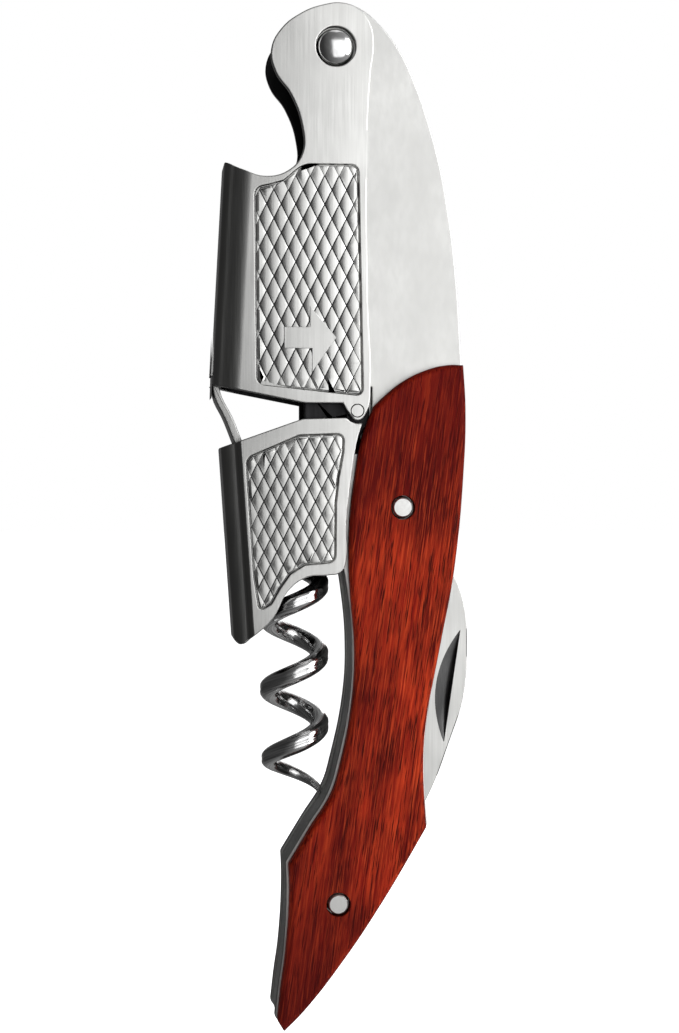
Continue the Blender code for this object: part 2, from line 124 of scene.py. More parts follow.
# ---- pads, pins and plates ----------------------------------------------------------------
PAD_CORNER = 0.8 * MM                       # rounding of the pads' outline
POCKET_CORNER = 0.9 * MM                    # rounding of the pocket round them
CELLS_EACH_WAY = 40                         # grooves cut on both sides of the phase point
ARROW_SUNK = 0.02 * MM                      # the arrow's face below the lever's face
WHOLE_PAD = 1.5                             # a cell wider than this many slopes gets a whole pad
PART_PAD = 0.6                              # a cell wider than this many slopes gets a low pad
LOW_PAD = 0.4                               # rise and slope of a low pad, as a share of a whole one's
HINGE_CLEAR = MM                            # edges nearer the hinge pin than this stay sharp
DOME_RIM = 0.4 * MM                         # how far the dome starts inside the lever's face
DOME_STEPS = 12
FLOOR_DROP = 40 * MM                        # gap between the object and the floor
FLOOR_REACH = 4.0

# ---- softboxes: place and size in mm, power; None takes the stage's key power --------------
SOFTBOXES = [
    ("front_softbox", (130, -420, 60), (340, 420), None),
    ("right_softbox", (370, -270, 120), (200, 420), 1.6),
    ("top_softbox", (60, -60, 460), (260, 200), 0.15),
    ("rear_softbox", (170, 400, 100), (340, 420), 0.6),
]


class SteelSizes(bpy.types.PropertyGroup):
    """Sizes of the sheet steel, the pins and the worm."""
    edge: FloatProperty(name="Edge", description="Rounding of the stamped edges", default=0.2 * MM,
                        unit="LENGTH")
    pin_edge: FloatProperty(name="Pin edge", description="Rounding of the rivet heads", default=0.16 * MM,
                            unit="LENGTH")
    worm_flute: FloatProperty(name="Worm flute", description="Depth of the flute along the worm's wire",
                              default=0.16 * MM, unit="LENGTH")
    nick_depth: FloatProperty(name="Nick depth", description="Depth of the nail nick at its straight wall",
                              default=0.75 * MM, unit="LENGTH")
    nick_width: FloatProperty(name="Nick width", description="Widest part of the nail nick", default=1.75 * MM,
                              unit="LENGTH")


class GripSizes(bpy.types.PropertyGroup):
    """Sizes of the diamond grip panels pressed into both levers."""
    pocket: FloatProperty(name="Pocket", description="Depth of the panel's pocket", default=0.4 * MM,
                          unit="LENGTH")
    rise: FloatProperty(name="Rise", description="Height of a pad above its groove", default=0.14 * MM,
                        unit="LENGTH")
    slope: FloatProperty(name="Slope", description="Width of a pad's sloping side", default=0.23 * MM,
                         unit="LENGTH")
    groove: FloatProperty(name="Groove", description="Flat floor between two pads", default=0.15 * MM,
                          unit="LENGTH")
    border: FloatProperty(name="Border", description="Gap between the pocket's wall and the pads",
                          default=0.16 * MM, unit="LENGTH")


class WoodSizes(bpy.types.PropertyGroup):
    """Rounding of the wooden scales."""
    edge: FloatProperty(name="Edge", description="Rounding of the outer edges", default=0.75 * MM,
                        unit="LENGTH")
    arris: FloatProperty(name="Arris", description="Rounding of the other edges", default=0.06 * MM,
                         unit="LENGTH")


class StageSizes(bpy.types.PropertyGroup):
    """Camera and light."""
    lens: FloatProperty(name="Lens", description="Focal length of the camera", default=48.0, unit="CAMERA")
    camera: FloatVectorProperty(name="Camera", description="Place of the camera from the middle of the box",
                                default=(-25.5 * MM, -256 * MM, 4.5 * MM), size=3, subtype="XYZ", unit="LENGTH")
    key: FloatProperty(name="Key", description="Power of the front softbox", default=0.67, unit="POWER")


def linear(code):
    """An sRGB hex colour as linear RGBA."""
    parts = [int(code[place:place + 2], 16) / 255 for place in (0, 2, 4)]
    return tuple(p / 12.92 if p <= 0.04045 else ((p + 0.055) / 1.055) ** 2.4 for p in parts) + (1.0,)


def spot(x, z, y=0.0):
    """A drawing point in the model's frame; y is in metres."""
    return ORIGIN + Vector((x * MM, y, z * MM))


# ---- materials --------------------------------------------------------------------

def add(tree, kind, settings, links=()):
    """Adds a shader node with its settings, and links its sockets to others' outputs."""
    node = tree.nodes.new("ShaderNode" + kind)
    for name, value in settings.items():
        if isinstance(name, int) or name in node.inputs:
            node.inputs[name].default_value = value
        else:
            setattr(node, name, value)
    for name, source in dict(links).items():
        tree.links.new(source, node.inputs[name])
    return node


def new_material(name):
    """An empty node material with its output and Principled shader."""
    made = bpy.data.materials.new(name)
    made.use_nodes = True
    tree = made.node_tree
    tree.nodes.clear()
    shader = add(tree, "BsdfPrincipled", {})
    add(tree, "OutputMaterial", {}, {"Surface": shader.outputs["BSDF"]})
    coords = add(tree, "TexCoord", {})
    return made, tree, shader, coords.outputs["Object"]


def grain(tree, coords, size, detail=3.0, rough=0.55, turn=(0, 0, 0)):
    """Noise whose blotches are size = (x, y, z) millimetres long."""
    mapping = add(tree, "Mapping", {"vector_type": "TEXTURE", "Rotation": turn,
                                    "Scale": [length * MM for length in size]}, {"Vector": coords})
    noise = add(tree, "TexNoise", {"Scale": 1.0, "Detail": detail, "Roughness": rough},
                {"Vector": mapping.outputs["Vector"]})
    return noise.outputs["Fac"]


def ramp(tree, value, low, high, out_low, out_high):
    """A value spread from low..high to out_low..out_high and kept inside them."""
    return add(tree, "MapRange", {"From Min": low, "From Max": high, "To Min": out_low, "To Max": out_high},
               {"Value": value}).outputs["Result"]


def mix(tree, factor, first, second):
    """A colour between two: each is a hex code or a socket."""
    settings, links = {}, {}
    for socket, value in (("Fac", factor), ("Color1", first), ("Color2", second)):
        if isinstance(value, str):
            settings[socket] = linear(value)
        elif isinstance(value, float):
            settings[socket] = value
        else:
            links[socket] = value
    return add(tree, "MixRGB", settings, links).outputs["Color"]


def relief(tree, shader, height, depth):
    """Bump of the shader's surface, depth in millimetres."""
    bump = add(tree, "Bump", {"Strength": 1.0, "Distance": depth * MM}, {"Height": height})
    tree.links.new(bump.outputs["Normal"], shader.inputs["Normal"])


def steel(name, dark, light, rough, streak, speck, depth, painted_shade=0.0):
    """Metal with stretched brush streaks over soft clouds: streak and speck are noise sizes in mm; the last
    argument is painted shade, which darkens the metal toward negative X, where the light falls off."""
    made, tree, shader, coords = new_material(name)
    shader.inputs["Metallic"].default_value = 1.0
    clouds = grain(tree, coords, (7, 7, 9), 2.0)
    brush = grain(tree, coords, streak, 2.0)
    specks = grain(tree, coords, speck, 3.0, 0.7)
    tone = mix(tree, ramp(tree, clouds, 0.3, 0.7, 0.0, 1.0), dark, light)
    tone = mix(tree, ramp(tree, brush, 0.35, 0.65, 0.0, 0.35), tone, dark)
    place = add(tree, "SeparateXYZ", {}, {"Vector": coords}).outputs["X"]
    # Painted shade: darker toward negative X, where the light falls off.
    tone = mix(tree, ramp(tree, place, 0.5 * MM, -12 * MM, 0.0, painted_shade), tone, "606060")
    tree.links.new(tone, shader.inputs["Base Color"])
    tree.links.new(ramp(tree, brush, 0.3, 0.7, rough[0], rough[1]), shader.inputs["Roughness"])
    relief(tree, shader, mix(tree, 0.5, brush, specks), depth)
    return made


def make_materials():
    """One material for each real finish."""
    return {
        # Stainless sheet, blasted and lightly brushed: near white with faint clouds and no clear reflection.
        "satin": steel("satin_stainless_sheet", "C2C2C0", "D0D0CE", rough=(0.38, 0.42), streak=(0.6, 0.6, 1.5),
                       speck=(0.2, 0.2, 0.2), depth=0.002),
        # Stainless sheet, brushed down the lever: soft vertical streaks on the spine, flank and pads, with
        #  painted shade that darkens it toward the left, where the light falls off.
        "lever": steel("brushed_stainless_sheet", "C2C2C0", "D8D8D6", rough=(0.30, 0.42), streak=(0.16, 0.16, 9),
                       speck=(0.25, 0.25, 0.25), depth=0.006, painted_shade=0.5),
        # The levers' inside, their inner ears and the pads' grooves: dull as they left the press, and dark with
        # painted shade, as these lie in shadow.
        "inside": steel("mill_finish_painted_shade", "2A2A2B", "3A3A3B", rough=(0.45, 0.6), streak=(0.3, 0.3, 5),
                        speck=(0.2, 0.2, 0.2), depth=0.01),
        # Sheared edge of a plate: light, torn across its thickness, with dark specks.
        "sheared": steel("sheared_stainless_edge", "8A8A8A", "D2D2D0", rough=(0.35, 0.5), streak=(0.6, 0.3, 0.35),
                         speck=(0.25, 0.25, 0.25), depth=0.02),
        # Cold-headed rivets, faced flat: pale with a very fine grain.
        "rivet": steel("faced_steel_rivet", "C4C4C2", "D6D6D4", rough=(0.32, 0.42), streak=(0.3, 0.3, 0.3),
                       speck=(0.15, 0.15, 0.15), depth=0.003),
        # Blade ground along its length: fine straight lines.
        "blade": steel("ground_blade_steel", "B4B4B2", "CACAC8", rough=(0.28, 0.38), streak=(0.14, 0.14, 7),
                       speck=(0.2, 0.2, 0.2), depth=0.003),
        # Plated pin, tumbled to a gloss: a hard highlight that the fine dents break up.
        "dome": steel("black_nickel_plate", "B8B8B8", "DCDCDC", rough=(0.12, 0.22), streak=(0.6, 0.6, 0.6),
                      speck=(0.3, 0.3, 0.3), depth=0.012),
        # Hollow left by the grinding wheel: dull and scored along the nick, its dark colour painted shade in the
        # hollow.
        "nick": steel("ground_hollow_painted_shade", "3C3C3C", "626262", rough=(0.3, 0.42), streak=(0.12, 0.12, 5),
                      speck=(0.2, 0.2, 0.2), depth=0.006),
        "chrome": make_chrome(),
        "wood": make_wood(),
    }


def make_chrome():
    """Drawn wire, hard chromed: a mirror with fine draw lines that run along the wire."""
    made, tree, shader, coords = new_material("hard_chrome_on_drawn_wire")
    shader.inputs["Metallic"].default_value = 1.0
    wire = add(tree, "Attribute", {"attribute_name": "wire_place"}).outputs["Vector"]
    lines = grain(tree, wire, (0.22, 0.22, 5), 3.0, 0.6)
    spots = grain(tree, coords, (0.7, 0.7, 0.7), 3.0, 0.6)
    tree.links.new(mix(tree, ramp(tree, lines, 0.35, 0.65, 0.0, 1.0), "B0B0B0", "F2F2F2"),
                   shader.inputs["Base Color"])
    tree.links.new(ramp(tree, spots, 0.35, 0.65, 0.06, 0.2), shader.inputs["Roughness"])
    relief(tree, shader, mix(tree, 0.25, lines, spots), 0.05)
    return made


def make_wood():
    """Oiled padauk, sawn along the grain: orange-red to dark red bands, short dark pores, a soft gloss, painted shade
    toward the left, and darker toward the top and the tail end.
    """
    made, tree, shader, coords = new_material("oiled_padauk_wood")
    lean = (0, radians(8), 0)
    figure = grain(tree, coords, (7, 7, 14), 3.0, 0.6, lean)
    bands = grain(tree, coords, (2.0, 2.0, 34), 2.0, 0.5, lean)
    streaks = grain(tree, coords, (0.42, 0.42, 10), 4.0, 0.7, lean)
    fibres = grain(tree, coords, (0.2, 0.2, 7), 3.0, 0.65, lean)
    pores = grain(tree, coords, (0.17, 0.17, 3.4), 2.0, 0.55, lean)
    place = add(tree, "SeparateXYZ", {}, {"Vector": coords}).outputs
    tone = mix(tree, ramp(tree, bands, 0.35, 0.65, 0.0, 1.0), "500604", "82190B")
    tone = mix(tree, ramp(tree, streaks, 0.4, 0.66, 0.0, 0.9), tone, "A43216")
    tone = mix(tree, ramp(tree, figure, 0.4, 0.62, 0.0, 0.8), tone, "3A0303")
    tone = mix(tree, ramp(tree, fibres, 0.5, 0.7, 0.0, 0.55), tone, "C84A24")
    tone = mix(tree, ramp(tree, pores, 0.55, 0.66, 0.0, 0.9), tone, "240403")
    # Painted shade: darker toward the left, where the light falls off.
    tone = mix(tree, ramp(tree, place["X"], 8 * MM, -5 * MM, 0.0, 0.5), tone, "3A0404")
    # Darker toward the top and toward the tail end.
    tone = mix(tree, ramp(tree, place["Z"], -4 * MM, 16 * MM, 0.0, 0.7), tone, "460404")
    tone = mix(tree, ramp(tree, place["Z"], -40 * MM, -60 * MM, 0.0, 0.45), tone, "3A0404")
    tree.links.new(tone, shader.inputs["Base Color"])
    tree.links.new(ramp(tree, streaks, 0.4, 0.7, 0.42, 0.58), shader.inputs["Roughness"])
    shader.inputs["Specular IOR Level"].default_value = 0.04
    height = mix(tree, 0.4, ramp(tree, pores, 0.52, 0.64, 1.0, 0.0), streaks)
    relief(tree, shader, height, 0.04)
    return made


# ---- mesh work ----------------------------------------------------------------------

def merged_copy(node):
    """A welded copy of a CAD node's triangles, with its flat faces joined."""
    work = bmesh.new()
    work.from_mesh(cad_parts[node].data)
    bmesh.ops.remove_doubles(work, verts=work.verts, dist=WELD)
    bmesh.ops.dissolve_limit(work, angle_limit=FLAT, verts=work.verts, edges=work.edges)
    bmesh.ops.dissolve_degenerate(work, dist=WELD, edges=work.edges)
    return work


def soften(work, width, segments, wanted=None):
    """Rounds the sharp edges that wanted picks."""
    sharp = [e for e in work.edges if e.is_manifold and e.calc_face_angle() > SHARP]
    if wanted:
        sharp = [e for e in sharp if wanted(e)]
    bmesh.ops.bevel(work, geom=sharp, offset=width, offset_type="OFFSET", segments=segments, profile=0.5,
                    affect="EDGES", material=-1, clamp_overlap=False)
    bmesh.ops.remove_doubles(work, verts=work.verts, dist=WELD / 5)


def prism(outline, y_low, y_high, rounding=0.0):
    """A closed block with an outline of drawing points, from y_low to y_high (m), its corners rounded."""
    work = bmesh.new()
    ring = [work.verts.new(spot(x, z, y_low)) for x, z in outline]
    work.faces.new(ring)
    if rounding:
        round_corners(work, rounding)
    made = bmesh.ops.extrude_face_region(work, geom=work.faces[:])
    verts = [v for v in made["geom"] if isinstance(v, bmesh.types.BMVert)]
    bmesh.ops.translate(work, verts=verts, vec=(0, y_high - y_low, 0))
    bmesh.ops.recalc_face_normals(work, faces=work.faces)
    return work


def round_corners(work, radius):
    """Rounds a flat outline's real corners."""
    corners = [v for v in work.verts if turning(v) > radians(35)]
    bmesh.ops.bevel(work, geom=corners, offset=radius, offset_type="OFFSET", segments=5, profile=0.5,
                    affect="VERTICES", material=-1)


def turning(vert):
    """How far an outline turns at a vertex."""
    first, second = (edge.other_vert(vert).co - vert.co for edge in vert.link_edges[:2])
    return pi - first.angle(second)


def turned(profile, centre, steps=64):
    """A round body on the Y axis through centre: profile is (radius, y) in metres, from low y to high y."""
    work = bmesh.new()
    knots = [work.verts.new(centre + Vector((radius, y, 0))) for radius, y in profile]
    for first, second in zip(knots, knots[1:]):
        work.edges.new((first, second))
    bmesh.ops.spin(work, geom=work.verts[:] + work.edges[:], cent=centre, axis=(0, 1, 0), angle=2 * pi,
                   steps=steps, use_merge=True)
    bmesh.ops.remove_doubles(work, verts=work.verts, dist=WELD / 5)
    bmesh.ops.recalc_face_normals(work, faces=work.faces)
    return work


def as_object(work, name):
    """Turns a bmesh into an object of the scene and frees it."""
    mesh = bpy.data.meshes.new(name)
    work.to_mesh(mesh)
    work.free()
    made = bpy.data.objects.new(name, mesh)
    bpy.context.scene.collection.objects.link(made)
    return made


def cut(work, tool):
    """The solid with the tool taken away."""
    body, knife = as_object(work, "cut_body"), as_object(tool, "cut_tool")
    step = body.modifiers.new("cut", "BOOLEAN")
    step.operation, step.solver, step.object = "DIFFERENCE", "EXACT", knife
    graph = bpy.context.evaluated_depsgraph_get()
    made = bmesh.new()
    made.from_mesh(body.evaluated_get(graph).to_mesh())
    for item in (body, knife):
        bpy.data.objects.remove(item, do_unlink=True)
    bmesh.ops.remove_doubles(made, verts=made.verts, dist=WELD / 5)
    bmesh.ops.dissolve_limit(made, angle_limit=FLAT, verts=made.verts, edges=made.edges)
    return made


def join(work, extra):
    """Adds a second shell to a bmesh."""
    mesh = bpy.data.meshes.new("joined_shell")
    extra.to_mesh(mesh)
    extra.free()
    work.from_mesh(mesh)
    bpy.data.meshes.remove(mesh)


def mirrored(work):
    """A copy of a bmesh mirrored across the handle."""
    made = work.copy()
    bmesh.ops.scale(made, verts=made.verts, vec=(1, -1, 1))
    bmesh.ops.reverse_faces(made, faces=made.faces)
    return made


def even_shading(piece):
    """Lets the large flat faces set the normals, so that they stay flat beside their rounded edges."""
    step = piece.modifiers.new("even_shading", "WEIGHTED_NORMAL")
    step.keep_sharp = True
    step.weight = 100
    graph = bpy.context.evaluated_depsgraph_get()
    plain, piece.data = piece.data, bpy.data.meshes.new_from_object(piece.evaluated_get(graph))
    bpy.data.meshes.remove(plain)
    piece.data.name = piece.name
    piece.modifiers.clear()


def deliver(work, name, body, nodes, looks, pick=None, angle=SHARP):
    """Makes the finished object: shading, materials, body, slot and CAD nodes."""
    for face in work.faces:
        face.smooth = True
        face.material_index = pick(face) if pick else 0
    for edge in work.edges:
        edge.smooth = edge.is_manifold and edge.calc_face_angle() < angle
    piece = as_object(work, name)
    even_shading(piece)
    for look in looks:
        piece.data.materials.append(LOOKS[look])
    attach(piece, body)
    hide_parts(*nodes)
    return piece


# ---- grip panels ----------------------------------------------------------------------

def pad_field(outline, cell, phase, sizes, top):
    """Diamond pads that fill an outline; cell is a diamond's size, phase one crossing of the grooves."""
    work = bmesh.new()
    bottom = top + sizes.rise
    work.faces.new([work.verts.new(spot(x, z, bottom)) for x, z in outline])
    round_corners(work, PAD_CORNER)
    bmesh.ops.inset_region(work, faces=work.faces[:], thickness=sizes.border, use_even_offset=True,
                           use_boundary=True)
    inner = max(work.faces, key=lambda f: f.calc_area())
    bmesh.ops.delete(work, geom=[f for f in work.faces if f is not inner], context="FACES")
    if inner.normal.y > 0:
        bmesh.ops.reverse_faces(work, faces=work.faces[:])
    width, height = cell
    pitch = width * height / sqrt(width ** 2 + height ** 2) * MM
    for lean in (-1, 1):
        across = Vector((height, 0, lean * width)).normalized()
        start = spot(*phase, bottom)
        for step in range(-CELLS_EACH_WAY, CELLS_EACH_WAY + 1):
            bmesh.ops.bisect_plane(work, geom=work.verts[:] + work.edges[:] + work.faces[:], dist=WELD / 10,
                                   plane_co=start + across * step * pitch, plane_no=across)
    reach = {f: 2 * f.calc_area() / f.calc_perimeter() for f in work.faces}
    needed = (sizes.slope + sizes.groove / 2) * WHOLE_PAD
    whole = [f for f, r in reach.items() if r > needed]
    part = [f for f, r in reach.items() if sizes.slope * PART_PAD < r <= needed]
    floor = bmesh.ops.inset_individual(work, faces=whole, thickness=sizes.groove / 2, depth=0,
                                       use_even_offset=True)
    # The groove floors take the second material: dark painted shade in the grooves.
    for face in floor["faces"]:
        face.material_index = 1
    bmesh.ops.inset_individual(work, faces=whole, thickness=sizes.slope, depth=sizes.rise,
                               use_even_offset=True)
    bmesh.ops.inset_individual(work, faces=part, thickness=sizes.slope * LOW_PAD, depth=sizes.rise * LOW_PAD,
                               use_even_offset=True)
    rim = [e for e in work.edges if e.is_boundary]
    made = bmesh.ops.extrude_edge_only(work, edges=rim)
    verts = [v for v in made["geom"] if isinstance(v, bmesh.types.BMVert)]
    bmesh.ops.translate(work, verts=verts, vec=(0, sizes.pocket, 0))
    bmesh.ops.holes_fill(work, edges=[e for e in work.edges if e.is_boundary], sides=0)
    bmesh.ops.recalc_face_normals(work, faces=work.faces)
    return work


def grip_lever(node, outline, cell, phase, sizes, edge, arrow=None):
    """The lever's CAD solid with a pocket in each plate, filled with diamond pads."""
    face = -LEVER_FACE
    pads = pad_field(outline, cell, phase, sizes, face + (sizes.pocket - sizes.rise) / 2)
    if arrow:
        plate = prism(arrow, face + ARROW_SUNK, face + sizes.pocket * 1.5)
        soften(plate, 0.06 * MM, 2, lambda e: all(v.co.y < face + sizes.pocket / 2 for v in e.verts))
        join(pads, plate)
    work = merged_copy(node)
    pocket = prism(outline, face - MM, face + sizes.pocket, POCKET_CORNER)
    back = mirrored(pocket)
    work = cut(work, pocket)
    work = cut(work, back)
    soften(work, edge, 2, lambda e: clear_of(e, HINGE, HINGE_CLEAR))
    bmesh.ops.holes_fill(work, edges=[e for e in work.edges if e.is_boundary], sides=0)
    join(work, mirrored(pads))
    join(work, pads)
    return work


def clear_of(edge, place, distance):
    """True if both ends of an edge are further than distance from the Y line through a drawing point."""
    centre = spot(*place)
    return all((Vector((v.co.x, 0, v.co.z)) - centre).length > distance for v in edge.verts)


def shaded_inside_face(face):
    """1 for the faces that take dark painted shade: the grooves, the inner ears and the faces on the inside of a
    folded lever.
    """
    if face.material_index == 1:
        return 1
    centre, normal = face.calc_center_median(), face.normal
    hidden = normal.x > 0.4 or centre.y * normal.y < -0.3 * abs(centre.y)
    corner = spot(*EARS_CORNER)
    ear = EARS[0] < abs(centre.y) < EARS[1] and centre.z < corner.z and centre.x > corner.x
    return 1 if abs(centre.y) < INSIDE and (hidden or ear) else 0


# ---- operators ----------------------------------------------------------------------------

class CORKSCREW_OT_handle_steel(bpy.types.Operator):
    """Liners, head spacer and back strip with their stamped edges broken."""
    bl_idname = "corkscrew.handle_steel"
    bl_label = "Handle steel"

    def execute(self, context):
        edge = context.scene.corkscrew_steel.edge
        for node in ("liner_front", "liner_back", "head_spacer", "back_strip"):
            work = merged_copy(node)
            soften(work, edge, 2)
            deliver(work, "steel_" + node, "handle", [node], ["satin", "sheared"], rim_face)
        return {"FINISHED"}


def rim_face(face):
    """1 for a plate's cut edge, 0 for its two faces."""
    return 1 if abs(face.normal.y) < 0.5 else 0


class CORKSCREW_OT_wood_scales(bpy.types.Operator):
    """Two wooden scales with rounded outer edges."""
    bl_idname = "corkscrew.wood_scales"
    bl_label = "Wooden scales"

    def execute(self, context):
        sizes = context.scene.corkscrew_wood

        def outer(e):
            return all(abs(v.co.y) > WOOD_FACE - 0.1 * MM for v in e.verts) and all(
                clear_of(e, place, 2 * MM) for place in RIVETS)

        for side in SIDES:
            work = merged_copy("scale_" + side)
            soften(work, sizes.edge, 5, outer)
            soften(work, sizes.arris, 1)
            deliver(work, "wood_scale_" + side, "handle", ["scale_" + side], ["wood"])
        return {"FINISHED"}


class CORKSCREW_OT_first_lever(bpy.types.Operator):
    """First lever: neck, beaded spine, foot and a diamond grip with an arrow on both plates."""
    bl_idname = "corkscrew.first_lever"
    bl_label = "First lever"

    def execute(self, context):
        scene = context.scene
        work = grip_lever("lever_first", PANEL_1, (1.77, 3.5), (-1.0, 92.0), scene.corkscrew_grip,
                          scene.corkscrew_steel.edge, ARROW)
        deliver(work, "first_lever", "lever", ["lever_first"], ["lever", "inside"], shaded_inside_face)
        return {"FINISHED"}


class CORKSCREW_OT_second_lever(bpy.types.Operator):
    """Second lever: beaded spine, inner ears and a diamond grip on both plates."""
    bl_idname = "corkscrew.second_lever"
    bl_label = "Second lever"

    def execute(self, context):
        scene = context.scene
        work = grip_lever("lever_second", PANEL_2, (1.57, 3.07), (-3.03, 67.7), scene.corkscrew_grip,
                          scene.corkscrew_steel.edge)
        deliver(work, "second_lever", "second_lever", ["lever_second"], ["lever", "inside"],
                shaded_inside_face)
        return {"FINISHED"}


class CORKSCREW_OT_worm(bpy.types.Operator):
    """Worm: one fluted wire that opens out from the shank, coils down and tapers to its point."""
    bl_idname = "corkscrew.worm"
    bl_label = "Worm"

    rings_per_turn: IntProperty(name="Rings", description="Rings in each turn of the wire", default=40)

    def execute(self, context):
        flute = context.scene.corkscrew_steel.worm_flute
        path = worm_path(self.rings_per_turn)
        work = bmesh.new()
        layer = work.verts.layers.float_vector.new("wire_place")
        made = bmesh.ops.create_circle(work, cap_ends=True, radius=1.0, segments=WIRE_SIDES)
        ring = made["verts"]
        for vert in ring:
            if vert.co.x > FLUTE_START:
                vert.co.x -= flute / (WIRE_R * MM) * (vert.co.x - FLUTE_START) / (1 - FLUTE_START)
        for vert in ring:
            vert[layer] = vert.co * WIRE_R * MM
        edges = work.edges[:]
        bmesh.ops.transform(work, matrix=path[0], verts=ring)
        last, length = path[0], 0.0
        for place in path[1:]:
            made = bmesh.ops.extrude_edge_only(work, edges=edges)
            ring = [v for v in made["geom"] if isinstance(v, bmesh.types.BMVert)]
            edges = [e for e in made["geom"] if isinstance(e, bmesh.types.BMEdge)]
            bmesh.ops.transform(work, matrix=place @ last.inverted(), verts=ring)
            length += (place.translation - last.translation).length
            for vert in ring:
                vert[layer].z = length
            last = place
        bmesh.ops.holes_fill(work, edges=edges, sides=0)
        bmesh.ops.recalc_face_normals(work, faces=work.faces)
        deliver(work, "worm_wire", "worm_screw", ["worm"], ["chrome"], angle=radians(60))
        return {"FINISHED"}


def worm_path(per_turn):
    """Placing matrices for the wire's rings, from the axle to the point."""
    axis = spot(*WORM_TOP)
    top = WORM_TOP[1] - SHANK
    turns = (top - WORM_TIP_Z) / PITCH
    count = int(turns * per_turn)
    rings = []
    for step in range(-SHANK_STEPS, count + 1):
        turn = turns * (1 - step / count)
        opened = max(0.0, min(1.0, (turns - turn) / SPREAD))
        radius = (WORM_R - WIRE_R) * (3 - 2 * opened) * opened ** 2
        thick = WIRE_R * min(1.0, TIP_R / WIRE_R + (1 - TIP_R / WIRE_R) * sqrt(max(0.0, turn) / TAPER))
        angle = 2 * pi * turn
        height = WORM_TIP_Z - WORM_TOP[1] + turn * PITCH if step >= 0 else -SHANK * (1 + step / SHANK_STEPS)
        place = axis + Vector((radius * cos(angle), radius * sin(angle), height)) * MM
        rings.append((place, angle, thick * MM))
    path = []
    for index, (place, angle, thick) in enumerate(rings):
        before, after = rings[max(0, index - 1)][0], rings[min(len(rings) - 1, index + 1)][0]
        along = (after - before).normalized()
        out = Vector((cos(angle), sin(angle), 0))
        out = (out - along * out.dot(along)).normalized()
        turn_to = Matrix((out, along.cross(out), along)).transposed().to_4x4()
        path.append(Matrix.Translation(place) @ turn_to @ Matrix.Scale(thick, 4))
    return path


class CORKSCREW_OT_knife(bpy.types.Operator):
    """Foil knife with rounded edges and a nail nick in its near face."""
    bl_idname = "corkscrew.knife"
    bl_label = "Knife"

    def execute(self, context):
        sizes = context.scene.corkscrew_steel
        work = merged_copy("knife_blade")
        soften(work, 0.12 * MM, 2)
        work = cut(work, nick_wheel(sizes.nick_depth, sizes.nick_width))
        deliver(work, "foil_knife", "knife", ["knife_blade"], ["blade", "nick"], nick_face)
        return {"FINISHED"}


def nick_face(face):
    """1 for the hollow of the nail nick, which takes dark painted shade."""
    centre = face.calc_center_median()
    near = abs(centre.x - spot(*NICK_FOOT).x) < 4 * MM and spot(*NICK_FOOT).z - MM < centre.z < spot(*NICK_TOP).z + MM
    return 1 if near and -BLADE_FACE + 0.02 * MM < centre.y < 0 else 0


def nick_wheel(depth, width):
    """The grinding wheel that leaves the nick: its flat side makes the straight wall, its rim the hollow."""
    head, foot = spot(*NICK_TOP, -BLADE_FACE), spot(*NICK_FOOT, -BLADE_FACE)
    along = (head - foot).normalized()
    out = Vector((0, -1, 0))
    side = out.cross(along)
    if side.x > 0:
        side = -side
    shaft = (side * width + out * depth).normalized()
    lift = (out * width - side * depth).normalized()
    radius = (head - foot).length ** 2 / (8 * depth)
    length = 3 * width
    centre = (head + foot) / 2 - out * depth + lift * radius + shaft * length / 2
    work = bmesh.new()
    bmesh.ops.create_cone(work, cap_ends=True, segments=256, radius1=radius, radius2=radius, depth=length)
    turn_to = Matrix((along, shaft.cross(along), shaft)).transposed().to_4x4()
    bmesh.ops.transform(work, matrix=Matrix.Translation(centre) @ turn_to, verts=work.verts)
    bmesh.ops.recalc_face_normals(work, faces=work.faces)
    return work


class CORKSCREW_OT_pins(bpy.types.Operator):
    """Domed head pin, flush rivets, strip pins, hinge pin, worm axle and knife spacers."""
    bl_idname = "corkscrew.pins"
    bl_label = "Pins and rivets"

    def execute(self, context):
        edge = context.scene.corkscrew_steel.pin_edge
        for node, body in (("upper_rivet", "handle"), ("knife_rivet", "handle"), ("strip_pin_upper", "handle"),
                           ("strip_pin_middle", "handle"), ("strip_pin_tail", "handle"),
                           ("lever_hinge_pin", "lever")):
            low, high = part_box(node)
            radius, half = (high.x - low.x) / 2, high.y
            bevel = edge / 4 if node == "lever_hinge_pin" else edge
            crown = [(0, half), (radius - bevel, half), (radius, half - bevel)]
            profile = [(r, -y) for r, y in crown] + [(r, y) for r, y in reversed(crown)]
            deliver(turned(profile, (low + high) / 2), "pin_" + node, body, [node],
                    ["lever" if node == "lever_hinge_pin" else "rivet"])
        low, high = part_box("head_pin")
        radius, top = (high.x - low.x) / 2, high.y
        rim = LEVER_FACE - DOME_RIM
        angles = [pi / 2 * k / DOME_STEPS for k in range(DOME_STEPS)]
        dome = [(radius * cos(a), rim + (top - rim) * sin(a)) for a in angles]
        dome.append((0, top))
        profile = [(r, -y) for r, y in reversed(dome)] + dome
        deliver(turned(profile, (low + high) / 2), "domed_head_pin", "handle", ["head_pin"],
                ["dome"])
        for node, body in (("worm_axle", "worm_screw"), ("knife_spacer_front", "handle"),
                           ("knife_spacer_back", "handle")):
            work = merged_copy(node)
            soften(work, 0.1 * MM, 2)
            deliver(work, "turned_" + node, body, [node], ["rivet"])
        return {"FINISHED"}


